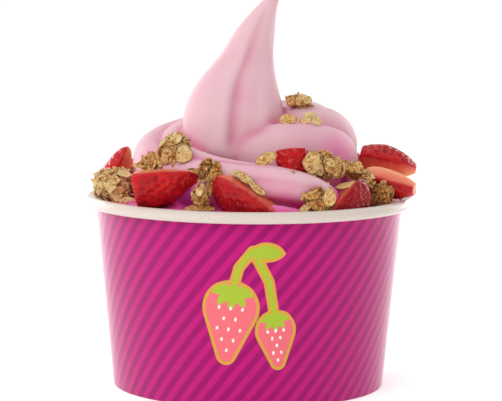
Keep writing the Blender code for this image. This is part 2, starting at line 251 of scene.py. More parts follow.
lowCorner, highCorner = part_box("cup_wall")
cup = {
    "height": highCorner.z / mm, "rimRadius": highCorner.x / mm,
    "footRadius": 47.6, "board": 0.5, "rollRadius": 2.0, "rollSweep": 300,
    "hemHeight": 5.6, "hemWidth": 2.0, "baseRise": 6.6,
    "columns": 520, "wallRows": 100,
    "seamTurn": 118, "seamWidth": 7, "seamStep": 0.28,  # lap joint of the blank, at the back
}
cup["rollMiddle"] = (cup["rimRadius"] - cup["rollRadius"], cup["height"] - cup["rollRadius"])
cup["neckHeight"] = cup["rollMiddle"][1] - 1.3
cup["neckRadius"] = cup["rollMiddle"][0] - cup["rollRadius"] + cup["board"]
cup["slope"] = (cup["neckRadius"] - cup["footRadius"]) / cup["neckHeight"]

stripes = {"period": 4.35, "angle": 50, "softness": 0.6, "bright": "#C11A7B", "dark": "#9E1268"}
emblem = {  # a pair of strawberries on one stem; sizes in mm, places from the middle of the emblem
    "middle": (0.3, 33.0), "outline": 1.05,
    "coral": "#F0727C", "lime": "#A9C23A", "white": "#FBF7F2", "gold": "#D9A441",
}


def wallRadius(z):
    # The cone of the cup's outside: the foot's radius plus the slope times the height
    return cup["footRadius"] + cup["slope"] * z


def capsule(x, y, low, high, lowRadius, highRadius):
    # Distance to a tapered round bar: to the nearer end circle, or to the line that touches both circles
    ax, ay = high[0] - low[0], high[1] - low[1]
    length = math.hypot(ax, ay)
    along = ((x - low[0]) * ax + (y - low[1]) * ay) / length
    across = np.abs((x - low[0]) * ay - (y - low[1]) * ax) / length
    lean = (lowRadius - highRadius) / length
    upright = math.sqrt(1 - lean * lean)
    side = -across * lean + along * upright
    lowEnd = np.hypot(across, along) - lowRadius
    highEnd = np.hypot(across, along - length) - highRadius
    flank = across * upright + along * lean - lowRadius
    return np.where(side < 0, lowEnd, np.where(side > upright * length, highEnd, flank))


def leaf(x, y, root, tip, width):
    # Distance to a pointed leaf: the overlap of two equal circles through its root and its tip
    ax, ay = tip[0] - root[0], tip[1] - root[1]
    half = math.hypot(ax, ay) / 2
    mx, my = (root[0] + tip[0]) / 2, (root[1] + tip[1]) / 2
    nx, ny = -ay / (2 * half), ax / (2 * half)
    radius = (half * half + width * width / 4) / width
    back = radius - width / 2
    one = np.hypot(x - mx - nx * back, y - my - ny * back) - radius
    other = np.hypot(x - mx + nx * back, y - my + ny * back) - radius
    return np.maximum(one, other)


def emblemDistances(x, y):
    # Signed distances, in mm, to the fruit, the leaves and the light marks of the emblem, negative inside
    fruit = np.full(x.shape, 99.0)
    green, light = fruit.copy(), fruit.copy()
    knot = (1.0, 21.0)  # where the two stems meet
    for crown, tip, big in (((-5.5, 7.5), (-8.0, -14.5), 8.6), ((8.6, -2.0), (10.2, -17.0), 6.0)):
        down = unit(np.array(tip) - crown)
        side = np.array([-down[1], down[0]])
        shoulder = crown + down * big * 0.72
        body = capsule(x, y, shoulder, np.array(tip), big, big * 0.3)
        fruit = np.minimum(fruit, body)
        for turn in (-78, -40, 0, 40, 78):  # five sepals round the crown
            a = math.radians(turn)
            way = down * math.cos(a) + side * math.sin(a)
            green = np.minimum(green, leaf(x, y, np.array(crown) - down * 1.4, crown + way * big * 0.84, big * 0.36))
        bend = (np.array(crown) + knot) / 2 + [-1.2 if crown[0] < 0 else 1.6, 1.0]
        for start, end in ((crown, bend), (bend, knot)):
            green = np.minimum(green, capsule(x, y, np.array(start), np.array(end), 0.75, 0.75))
        across, step = big * 0.46, big * 0.42
        length = np.linalg.norm(np.array(tip) - shoulder)
        for row in range(int(length / step) + 2):  # light seeds in staggered rows
            reach = big * (1 - 0.7 * max(0.0, row * step) / length) - 1.6
            places = np.arange(-3, 4) * across + (row % 2) * across / 2
            for offset in places[np.abs(places) < reach]:
                at = shoulder + down * row * step + side * offset
                light = np.minimum(light, capsule(x, y, at - down * 0.35, at + down * 0.35, 0.42, 0.42))
    light = np.maximum(light, fruit + 0.7)
    green = np.minimum(green, leaf(x, y, knot, (10.5, 20.0), 4.6))
    return fruit, green, light


def makePrintedBoard():
    # Clay-coated paperboard, offset printed and varnished: flat saturated ink under a clear glossy coat
    # that mirrors the white studio at a low angle
    material, shader = newMaterial("offset printed paperboard", Roughness=0.5, IOR=1.5, Specular_IOR_Level=0.08,
                                   Coat_Roughness=0.12, Coat_IOR=1.5)
    low = addNode(material, "LayerWeight", {"Blend": 0.43})  # the varnish only shows at a low angle
    place = addNode(material, "UVMap", uv_map="print")
    split = addNode(material, "SeparateXYZ", {0: place.outputs[0]})
    lean = math.radians(stripes["angle"])
    ink = addNode(material, "Math", {0: split.outputs["X"], 1: math.sin(lean) / stripes["period"]}, operation="MULTIPLY")
    rise = addNode(material, "Math", {0: split.outputs["Y"], 1: -math.cos(lean) / stripes["period"], 2: ink.outputs[0]},
                   operation="MULTIPLY_ADD")
    wave = addNode(material, "Math", {0: rise.outputs[0], 1: fullTurn}, operation="MULTIPLY")
    swing = addNode(material, "Math", {0: wave.outputs[0]}, operation="SINE")
    edge = stripes["softness"]
    band = addNode(material, "MapRange", {"Value": swing.outputs[0], "From Min": -edge, "From Max": edge},
                   interpolation_type="SMOOTHSTEP")
    colour = addNode(material, "Mix", {0: band.outputs[0], 6: linear(stripes["dark"]), 7: linear(stripes["bright"])},
                     data_type="RGBA")
    # the emblem's colours in the order they are printed, each where its distance is below zero
    layers = (("outline", "gold", emblem["outline"]), ("fruit", "coral", 0), ("leaves", "lime", 0),
              ("marks", "white", 0))
    for key, tone, growth in layers:
        distance = addNode(material, "Attribute", attribute_name=key)
        inside = addNode(material, "MapRange", {"Value": distance.outputs["Fac"], "From Min": growth + 0.09,
                                                "From Max": growth - 0.09})
        colour = addNode(material, "Mix", {0: inside.outputs[0], 6: colour.outputs[2], 7: linear(emblem[tone])},
                         data_type="RGBA")
    where = addNode(material, "TexCoord")
    mottle = addNode(material, "TexNoise", {"Vector": where.outputs["Object"], "Scale": 900.0, "Detail": 4.0})
    uneven = addNode(material, "MapRange", {"Value": mottle.outputs[0], "To Min": 0.94, "To Max": 1.05})
    body = addNode(material, "Mix", {0: 1.0, 6: colour.outputs[2], 7: uneven.outputs[0]}, data_type="RGBA",
                   blend_type="MULTIPLY")
    # bare board inside, under the rim and at the cut edges, in a darker, warmer copy of the white board's colour:
    # painted shade
    board = addNode(material, "Attribute", attribute_name="bare")
    fibre = addNode(material, "TexNoise", {"Vector": where.outputs["Object"], "Scale": 1400.0, "Detail": 6.0})
    paper = addNode(material, "ValToRGB", {0: fibre.outputs[0]}, [(0.3, "#D7C9BF"), (0.7, "#DED1C7")])
    both = addNode(material, "Mix", {0: board.outputs["Fac"], 6: body.outputs[2], 7: paper.outputs[0]},
                   data_type="RGBA")
    bump = addNode(material, "Bump", {"Height": fibre.outputs[0], "Strength": 0.03, "Distance": 0.0002})
    tree = material.node_tree
    tree.links.new(both.outputs[2], shader.inputs["Base Color"])
    tree.links.new(bump.outputs[0], shader.inputs["Normal"])
    tree.links.new(low.outputs["Facing"], shader.inputs["Coat Weight"])
    return material


def makeWhiteBoard():
    # Bleached paperboard with a thin matt wax film: warm white with a faint tangle of fibres
    material, shader = newMaterial("bleached paperboard", Roughness=0.5, IOR=1.5, Coat_Weight=0.15,
                                   Coat_Roughness=0.3)
    where = addNode(material, "TexCoord")
    fibre = addNode(material, "TexNoise", {"Vector": where.outputs["Object"], "Scale": 1200.0, "Detail": 6.0})
    paper = addNode(material, "ValToRGB", {0: fibre.outputs[0]}, [(0.3, "#ECEAE1"), (0.7, "#F8F7F1")])
    bump = addNode(material, "Bump", {"Height": fibre.outputs[0], "Strength": 0.1, "Distance": 0.0002})
    material.node_tree.links.new(paper.outputs[0], shader.inputs["Base Color"])
    material.node_tree.links.new(bump.outputs[0], shader.inputs["Normal"])
    return material


def makeCup():
    # The wall is a closed profile turned about Z: outside cone, rolled rim in and back, inside cone, hem.
    # Its outside is lifted by a ramp that ends in a step, where the blank laps over itself.
    steps = np.radians(np.linspace(180, 180 - cup["rollSweep"], 40))
    r0, z0 = cup["rollMiddle"]
    thin = cup["rollRadius"] - cup["board"]
    rollIn = np.stack([r0 + thin * np.cos(steps), z0 + thin * np.sin(steps)], -1)
    rollOut = np.stack([r0 + cup["rollRadius"] * np.cos(steps), z0 + cup["rollRadius"] * np.sin(steps)], -1)[::-1]
    rise = np.linspace(0, 1, cup["wallRows"])[:, None]
    foot, neck = np.array([cup["footRadius"], 0.25]), np.array([cup["neckRadius"], cup["neckHeight"]])
    outside = foot + (neck - foot) * rise
    leg, lean = cup["footRadius"] - cup["hemWidth"], cup["slope"] * cup["hemHeight"]
    board = cup["board"]
    inside = np.array([
        (cup["neckRadius"] - board, cup["neckHeight"]),
        (wallRadius(board) - board, board),
        (leg + board, board),
        (leg + board + lean, cup["hemHeight"]),
        (leg + lean, cup["hemHeight"]),
        (leg, 0.25),
        (leg + 0.25, 0),
        (cup["footRadius"] - 0.25, 0),
    ])
    profile = np.vstack([outside, rollIn, rollOut, inside])
    seam = math.radians(cup["seamTurn"])
    width = cup["seamWidth"] / cup["neckRadius"]
    even = np.linspace(seam, seam + fullTurn, cup["columns"] - 4, endpoint=False)
    turn = np.concatenate([even, seam + fullTurn - np.array([0.10, 0.05, 0.02, 0.0]) / cup["neckRadius"]])
    turn[-1] -= 1e-4
    behind = seam + fullTurn - turn  # how far the column lies before the step
    lap = cup["seamStep"] * (1 - smoothStep(0, 1, behind / width)) * (behind > 0.5e-4)
    lap[0] = 0
    r, z = profile.T
    onWall = np.zeros(len(profile))
    onWall[:len(outside)] = 1
    onWall[len(outside):len(outside) + 40] = 0.6  # the lap shows through the roll too
    onWall[len(outside) + 40:len(outside) + 80] = 0.6
    out = r[:, None] + onWall[:, None] * lap[None]
    grid = np.stack([out * np.cos(turn), out * np.sin(turn), np.broadcast_to(z[:, None], out.shape)], -1)
    points = grid.reshape(-1, 3)
    faces = facingOut(points, gridFaces(*grid.shape[:2], loopRows=True).tolist())
    # the print lies on the cone as if unrolled: mm round the middle of the wall, and mm of height
    fromFront = np.angle(np.exp(1j * (turn + math.pi / 2)))
    middle = wallRadius(emblem["middle"][1])
    across = np.broadcast_to(fromFront[None] * middle - emblem["middle"][0], out.shape)
    height = np.broadcast_to(z[:, None] - emblem["middle"][1], out.shape)
    fruit, green, light = emblemDistances(across, height)
    bare = np.ones(out.shape)
    bare[:len(outside)] = 0
    values = {"fruit": fruit, "leaves": green, "marks": light, "bare": bare,
              "outline": np.minimum(fruit, green)}
    values = {key: value.ravel() for key, value in values.items()}
    wall = addPiece("printedCupWall", points, faces, [makePrintedBoard()], values, ["cup_wall"])
    uv = wall.data.uv_layers.new(name="print")
    corner = np.zeros(len(wall.data.loops), np.int32)
    wall.data.loops.foreach_get("vertex_index", corner)
    column, row = corner % len(turn), corner // len(turn)
    u = (turn - seam)[column] * middle
    first = wall.data.polygons[0].loop_total
    lastColumn = (column == 0).reshape(-1, first) & (column.reshape(-1, first).max(1) == len(turn) - 1)[:, None]
    u = u + lastColumn.ravel() * fullTurn * middle
    uv.data.foreach_set("uv", np.stack([u, z[row]], -1).astype(np.float32).ravel())
    wall.data.set_sharp_from_angle(angle=math.radians(50))
    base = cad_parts["cup_base"]
    base.data.materials.clear()
    base.data.materials.append(makeWhiteBoard())


# ---- frozen yogurt ----

swirl = {
    "lobes": 5, "lobeSharpness": 0.6, "twist": (-45, -92), "foldWidth": (11, 26),
    "voxel": 0.72, "softenRounds": 3, "peakDepth": 0.97,
    # turn round the cup, distance from the axis, height, rope radius, depth between the nozzle's lobes,
    # place of the fold round the rope in degrees from its top, depth of the fold
    "coil": [(-50, 45.5, 69.8, 2.6, 0.10, -40, 0), (-62, 45.0, 72.5, 5.5, 0.12, -40, 0),
             (-75, 42.6, 74.8, 6.1, 0.16, -40, 0), (-88, 39.6, 75.2, 7.0, 0.20, -40, 0),
             (-117, 35, 73.8, 10.8, 0.22, -40, 0), (-150, 30.5, 74.2, 13.4, 0.22, -40, 0),
             (-187, 27, 77.0, 14.8, 0.22, -40, 0), (-231, 25.6, 79.5, 16.0, 0.22, -60, 0),
             (-274, 27, 81.0, 17.0, 0.15, -110, 0), (-310, 25, 80.5, 19.0, 0.08, -140, 0),
             (-349, 20, 79.6, 20.0, 0.07, -98, 0.12), (-368, 18.3, 79.5, 19.3, 0.05, -56, 0.19),
             (-388, 16.5, 79.5, 18.0, 0.05, -37, 0.21), (-430, 14, 80.5, 14.5, 0.06, -28, 0.15),
             (-470, 14, 82.0, 8.0, 0.10, -38, 0.04)],
    # a thin lip of yogurt under the coil's tail: turn, distance, height, radius
    "lip": [(-84, 47.0, 66.8, 2.3), (-77, 48.4, 66.4, 2.2), (-70, 49.6, 65.6, 1.7), (-65, 50.2, 64.6, 1.0)],
    # height, left x, right x, y of the middle
    "peak": [(77, -12, 2, -12), (81, -18, 7, -10.5), (85, -22.2, 10, -8.5), (91, -23.4, 11.5, -6), (97, -22.9, 11.6, -4),
             (103, -20.6, 10.3, -2), (109, -16.6, 8.9, -1), (116, -10.7, 8.1, 0), (125, -5.1, 8.6, 0),
             (132, 0.8, 9.2, 0), (138, 7.2, 10.6, 0), (140.3, 9.9, 11.1, 0)],
    # direction at the foot and at the tip, depth, half width before and after it
    "flutes": [(-92, -87, 0.17, 6, 28), (-70, -50, 0.03, 8, 9), (-40, -20, 0.05, 14, 16), (-150, -128, 0.04, 18, 18),
               (35, 75, 0.13, 22, 22), (100, 125, 0.14, 18, 18), (150, 165, 0.09, 12, 12)],
    "fluteStart": (0.04, 0.20),
    "fill": [(0.01, 0), (47.6, 0), (55, 64), (53, 65.5), (45, 66.3), (35, 67.8), (20, 69.5), (0.01, 70)],
    "floor": 7.4,
    # spots of painted shade in purple: centre, reach, strength
    "shadeSpots": [((20, -16, 91), 15, 0.12), ((35, -21, 81.5), 18, 0.62), ((-36, -22, 86), 9, 0.4), ((-20, -34, 83), 6, 0.45),
              ((-21, -39.5, 70), 9, 1.3), ((34, -12, 73), 9, 1.1), ((30, -35, 71), 7, 1.1)],
    # colours of painted shade: a ramp from pale on open crests to deep pink in creases, and two purples for the gaps
    "pale": "#E3BBC3", "mid": "#DC9EAE", "grooveShade": "#CC6A8C", "shadeViolet": "#EA42A8",
    "deepShadePurple": "#96246E",
}


def bell(angle, middle, before, after):
    # A bell round an angle, 1 at its middle, with its own half width on either side
    off = np.angle(np.exp(1j * (angle - middle)))
    return np.exp(-(off / np.radians(np.where(off < 0, before, after)))**2)


def ropeGrid(rows, along, around):
    # A rope along a spiral: rings across its path, whose radius falls between the nozzle's lobes, by the
    # cosine of their number times the angle, and at one deeper fold
    turn, out, height, radius, lobeDepth, fold, foldDepth = curveThrough(rows, along).T
    turn = np.radians(turn)
    path = np.stack([out * np.cos(turn), out * np.sin(turn), height], -1)
    tangent = unit(np.gradient(path, axis=0))
    normal = np.zeros_like(path)
    v = np.array([0, 0, 1.0])
    for k, t in enumerate(tangent):  # carried along without turning
        v = unit(v - t * (v @ t))
        normal[k] = v
    side = np.cross(tangent, normal)
    angle = np.linspace(0, fullTurn, around, endpoint=False)
    twist = np.radians(np.linspace(*swirl["twist"], along))
    ridge = np.abs(np.cos(swirl["lobes"] * (angle[None] - twist[:, None]) / 2)) ** swirl["lobeSharpness"]
    crease = bell(angle[None], np.radians(fold)[:, None], *swirl["foldWidth"])
    r = radius[:, None] * (1 - lobeDepth[:, None] * (1 - ridge) - foldDepth[:, None] * crease)
    r = r[..., None]
    return path[:, None] + r * (np.cos(angle)[None, :, None] * normal[:, None]
                                + np.sin(angle)[None, :, None] * side[:, None])


def peakGrid(along=300, around=160):
    # The peak: level rings between a left and a right outline, dented by bells that fade out at its foot
    z, left, right, middle = curveThrough(swirl["peak"], along).T
    angle = np.linspace(0, fullTurn, around, endpoint=False)
    rise = ((z - z[0]) / (z[-1] - z[0]))[:, None]
    r = np.ones((along, around))
    for foot, tip, depth, before, after in swirl["flutes"]:
        r -= depth * smoothStep(*swirl["fluteStart"], rise) * bell(angle[None], np.radians(foot + (tip - foot) * rise), before, after)
    half = ((right - left) / 2)[:, None]
    x = ((left + right) / 2)[:, None] + half * r * np.cos(angle)
    y = middle[:, None] + half * swirl["peakDepth"] * r * np.sin(angle)
    return np.stack([x, y, np.broadcast_to(z[:, None], x.shape)], -1)


def fillGrid(around=160):
    # The fill: a profile of (distance from the axis, height) turned about Z
    r, z = np.array(swirl["fill"], float).T
    angle = np.linspace(0, fullTurn, around, endpoint=False)
    x, y = r[:, None] * np.cos(angle), r[:, None] * np.sin(angle)
    return np.stack([x, y, np.broadcast_to(z[:, None], x.shape)], -1)


def neighbourMean(points, edges, rounds, share=0.5):
    # Moves every value a share of the way to the mean of its neighbours along the edges, some rounds over
    a, b = edges.T
    count = np.bincount(a, minlength=len(points)) + np.bincount(b, minlength=len(points))
    for _ in range(rounds):
        total = np.stack([np.bincount(a, col[b], len(points)) + np.bincount(b, col[a], len(points))
                          for col in points.T], -1)
        points = points + share * (total / count[:, None] - points)
    return points


def makeYogurtMaterial():
    # Berry frozen yogurt, churned and piped: soft matt cream with a thin melting film, light passes a few
    # millimetres in; painted shade makes the creases and low parts deeper pink and the gaps purple
    material, shader = newMaterial("berry frozen yogurt", Roughness=0.55, IOR=1.38, Specular_IOR_Level=0.3,
                                   Subsurface_Weight=0.3, Subsurface_Scale=0.003,
                                   Subsurface_Radius=(1.0, 0.55, 0.6))
    hollowShade = addNode(material, "Attribute", attribute_name="hollowShade")
    depth = addNode(material, "Attribute", attribute_name="low")
    where = addNode(material, "TexCoord")
    wander = addNode(material, "TexNoise", {"Vector": where.outputs["Object"], "Scale": 38.0, "Detail": 3.0})
    shift = addNode(material, "MapRange", {"Value": wander.outputs[0], "To Min": -0.22, "To Max": 0.22})
    grooveShade = addNode(material, "Math", {0: hollowShade.outputs["Fac"], 1: shift.outputs[0]}, operation="ADD")
    # painted shade: pale on open crests, deeper pink into creases and low parts, shifted by noise
    tone = addNode(material, "ValToRGB", {0: grooveShade.outputs[0]},
                   [(0.0, swirl["pale"]), (0.42, swirl["mid"]), (0.95, swirl["grooveShade"])])
    # painted shade: purple where the low share is high
    purpleShaded = addNode(material, "Mix", {0: depth.outputs["Fac"], 6: tone.outputs[0], 7: linear(swirl["shadeViolet"])},
                      data_type="RGBA")
    # darkest painted shade, above a low share of 0.8
    thick = addNode(material, "MapRange", {"Value": depth.outputs["Fac"], "From Min": 0.8, "From Max": 1.0})
    deep = addNode(material, "Mix", {0: thick.outputs[0], 6: purpleShaded.outputs[2], 7: linear(swirl["deepShadePurple"])},
                   data_type="RGBA")
    grain = addNode(material, "TexNoise", {"Vector": where.outputs["Object"], "Scale": 700.0, "Detail": 5.0})
    streak = addNode(material, "TexNoise", {"Vector": where.outputs["Object"], "Scale": 160.0, "Detail": 3.0})
    relief = addNode(material, "Math", {0: streak.outputs[0], 1: 1.5, 2: grain.outputs[0]}, operation="MULTIPLY_ADD")
    bump = addNode(material, "Bump", {"Height": relief.outputs[0], "Strength": 0.12, "Distance": 0.0006})
    tree = material.node_tree
    tree.links.new(deep.outputs[2], shader.inputs["Base Color"])
    tree.links.new(bump.outputs[0], shader.inputs["Normal"])
    return material


def toppingSpots():
    # The middle and the three half sizes of every topping, from its own box
    spots = []
    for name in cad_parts:
        if name.startswith(("strawberry_", "granola_")):
            low, high = (np.array(corner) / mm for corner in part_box(name))
            spots.append(((low + high) / 2, (high - low) / 2))
    return spots


def makeYogurt():
    # Fill, coil and peak as closed tubes, melted into one skin of small voxels, softened, held inside the wall
    lip = [row + (0, 0, 0) for row in swirl["lip"]]
    grids = (fillGrid(), ropeGrid(swirl["coil"], 420, 120), ropeGrid(lip, 60, 24), peakGrid())
    parts = [closedTube(grid) + ({},) for grid in grids]
    points, faces, _ = joined(parts)
    rough = bpy.data.meshes.new("rough swirl")
    rough.from_pydata((points * mm).tolist(), [], faces)
    holder = bpy.data.objects.new("rough swirl", rough)
    bpy.context.scene.collection.objects.link(holder)
    melt = holder.modifiers.new("melt", "REMESH")
    melt.mode, melt.voxel_size = "VOXEL", swirl["voxel"] * mm
    graph = bpy.context.evaluated_depsgraph_get()
    mesh = bpy.data.meshes.new_from_object(holder.evaluated_get(graph))
    bpy.data.objects.remove(holder)
    points = np.zeros(len(mesh.vertices) * 3)
    mesh.vertices.foreach_get("co", points)
    points = points.reshape(-1, 3) / mm
    edges = np.zeros(len(mesh.edges) * 2, np.int32)
    mesh.edges.foreach_get("vertices", edges)
    edges = edges.reshape(-1, 2)
    points = neighbourMean(points, edges, swirl["softenRounds"])
    room = wallRadius(np.minimum(points[:, 2], cup["neckHeight"])) - cup["board"] - 0.3
    out = np.hypot(points[:, 0], points[:, 1])
    points[:, :2] *= np.minimum(1, room / np.maximum(out, 1e-6))[:, None]
    points[:, 2] = np.maximum(points[:, 2], swirl["floor"])
    mesh.vertices.foreach_set("co", (points * mm).ravel())
    mesh.update()
    normals = np.zeros(len(points) * 3)
    mesh.vertex_normals.foreach_get("vector", normals)
    normals = normals.reshape(-1, 3)
    fine = np.einsum("ij,ij->i", neighbourMean(points, edges, 14) - points, normals)
    broad = np.einsum("ij,ij->i", neighbourMean(points, edges, 120) - points, normals)
    z = points[:, 2]
    # painted shade: shares that darken the yogurt lower down and in its creases
    lower = 1.3 - smoothStep(78, 92, z) - 0.3 * smoothStep(66, 80, z)
    hollowShade = np.clip(0.22 + 0.24 * lower + fine * 1.15 + broad * 0.22, 0, 1)
    hollowShade = neighbourMean(hollowShade[:, None], edges, 6)[:, 0]
    toppingShade = np.zeros(len(points))  # painted purple shade round every topping, less of it higher up
    for centre, reach in toppingSpots():
        gap = np.linalg.norm((points - centre) / reach, axis=1)
        toppingShade = np.maximum(toppingShade, 1 - smoothStep(0.9, 1.55, gap))
    # painted purple shade: low near the fill where the surface dips, and in broad clefts low down
    lowPartShade = (1 - smoothStep(64, 72, z)) * smoothStep(-0.6, 1.0, broad + 0.3)
    cleft = smoothStep(0.7, 2.4, broad) * (1 - smoothStep(72, 82, z))
    shadeSpots = np.zeros(len(points))
    for centre, reach, strength in swirl["shadeSpots"]:
        gap = np.linalg.norm(points - centre, axis=1)
        shadeSpots = np.maximum(shadeSpots, strength * (1 - smoothStep(0.1 * reach, reach, gap)))
    # the low share: painted purple shade, capped at 0.78 except in the spots
    low = np.clip(lowPartShade + cleft + toppingShade * (0.15 + 0.75 * (1 - smoothStep(67, 77, z))), 0, 1) * 0.78
    low = neighbourMean(np.clip(np.maximum(low, shadeSpots), 0, 1)[:, None], edges, 5)[:, 0]
    for key, value in (("hollowShade", hollowShade), ("low", low)):
        mesh.attributes.new(key, "FLOAT", "POINT").data.foreach_set("value", value.astype(np.float32))
    mesh.polygons.foreach_set("use_smooth", [True] * len(mesh.polygons))
    mesh.name = "yogurtSwirl"
    mesh.materials.clear()
    mesh.materials.append(makeYogurtMaterial())
    piece = bpy.data.objects.new("yogurtSwirl", mesh)
    bpy.context.scene.collection.objects.link(piece)
    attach(piece, "root")
    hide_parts("frozen_yogurt")
    return piece


# ---- strawberries ----

berry = {
    "shoulder": 0.36, "coreOffset": 0.45, "stations": 84, "outline": 120, "edgeRounding": 0.016,
    "seedSpacing": 3.1, "seedSize": (1.1, 0.7, 0.42), "dimple": 0.36, "dimpleWidth": 0.9,
    "skin": "#D0181D", "skinDeep": "#A4111A", "underSkin": "#B8221E", "rind": "#DE5640", "flesh": "#F0865A", "core": "#F6AE7E",
    "seed": "#B0492A", "shadedRed": "#7E0A20",
    "skinShade": {1: 0.0, 2: 0.0, 3: 0.35, 5: 0.2, 6: 0.0, 7: 0.7},  # share of a darker, shaded red in a wedge's skin, else 0.1: painted shade
    # centre, way the tip points, way the skin faces, length, radius, degrees of skin, share of length kept
    "rows": [
        ((-46.0, 7.5, 75.3), (0.4, -0.1, 1.0), (-1.0, 0.0, 0.35), 24, 11, 110, (0.3, 1.0)),
        ((-26.8, -35.6, 75.5), (1.0, -0.06, 0.12), (-0.1, -0.71, -0.70), 43, 13.4, 88, (0.335, 0.885)),
        ((1.5, -43.0, 67.9), (0.82, -0.05, -0.56), (-0.56, -0.34, -0.76), 35, 13.6, 120, (0.02, 0.93)),
        ((14.6, -32.4, 80.8), (0.1, -0.3, -1.0), (0.1, -0.9, 0.3), 18, 7.2, 110, (0.24, 0.8)),
        ((49.0, 6.0, 77.4), (1.0, -0.1, -0.16), (0.1, 0.15, 1.0), 23, 12, 110, (0.08, 0.96)),
        ((48.6, -13.6, 73.1), (0.93, -0.3, -0.2), (0.25, -0.4, -0.88), 22, 10.6, 110, (0.08, 0.92)),
        ((32.8, -33.0, 66.6), (-0.52, -0.66, -0.54), (0.56, -0.54, -0.55), 25, 11.8, 120, (0.03, 0.85)),
        ((37.0, 29.0, 72.4), (-0.6, 0.8, 0.2), (0.7, 0.5, 0.5), 22, 11, 110, (0.08, 0.95)),
        ((22.5, 42.0, 73.5), (-0.3, -0.1, 1.0), (0.4, 0.85, -0.2), 20, 11, 110, (0.3, 1.0)),
        ((-4.0, 46.5, 72.0), (-1.0, 0.1, 0.15), (0.0, 0.8, 0.6), 24, 11, 110, (0.08, 0.92)),
        ((-22.5, 41.5, 73.0), (0.2, -0.2, 1.0), (-0.4, 0.9, 0.2), 21, 11, 110, (0.3, 1.0)),
        ((-36.6, 29.2, 72.6), (-0.6, -0.8, 0.3), (-0.7, 0.6, 0.5), 21, 11, 110, (0.08, 0.95)),
    ],
}


def berryRadius(s):
    # Radius of a whole berry at share s of its length: a blunt shoulder times a long taper to the tip
    shoulder = 1 - np.clip(1 - s / berry["shoulder"], 0, 1) ** 2.4
    tip = 1 - np.clip((s - berry["shoulder"]) / (1 - berry["shoulder"]), 0, 1) ** 1.9
    return np.clip(shoulder, 0, 1) ** 0.5 * np.clip(tip, 0, 1) ** 0.62


def wedgeOutline(sweep):
    # Section of a wedge in shares of the radius: an arc of skin and two straight cuts to the berry's axis,
    # evenly spaced and blurred round the loop so that its corners are rounded. Third column: 1 on the skin.
    half = math.radians(sweep / 2)
    arc = np.linspace(-half, half, 400)
    corner = np.vstack([np.stack([np.sin(arc), np.cos(arc)], -1), [[0, 0]], [[-math.sin(half), math.cos(half)]]])
    steps = np.concatenate([[0], np.cumsum(np.linalg.norm(np.diff(corner, axis=0), axis=1))])
    place = np.linspace(0, steps[-1], berry["outline"], endpoint=False)
    onSkin = (place <= steps[399]).astype(float)
    loop = np.stack([np.interp(place, steps, corner[:, 0]), np.interp(place, steps, corner[:, 1]), onSkin], -1)
    wave = np.fft.fftfreq(berry["outline"])[:, None]
    blur = np.exp(-2 * (math.pi * wave * berry["edgeRounding"] * berry["outline"])**2)
    return np.fft.ifft(np.fft.fft(loop, axis=0) * blur, axis=0).real


def seedLattice(length, radius, sweep, kept):
    # Staggered rows of seeds: places as (angle round the axis, share of the length)
    step = berry["seedSpacing"]
    rows = np.arange(kept[0] * length + 0.9, kept[1] * length - 0.6, step * 0.8)
    turn = step / radius
    reach = math.radians(sweep / 2) - 0.09
    places = []
    for n, row in enumerate(rows):
        columns = np.arange(-8, 9) * turn + (n % 2) * turn / 2
        places += [(c, row / length) for c in columns if abs(c) < reach]
    return np.array(places)


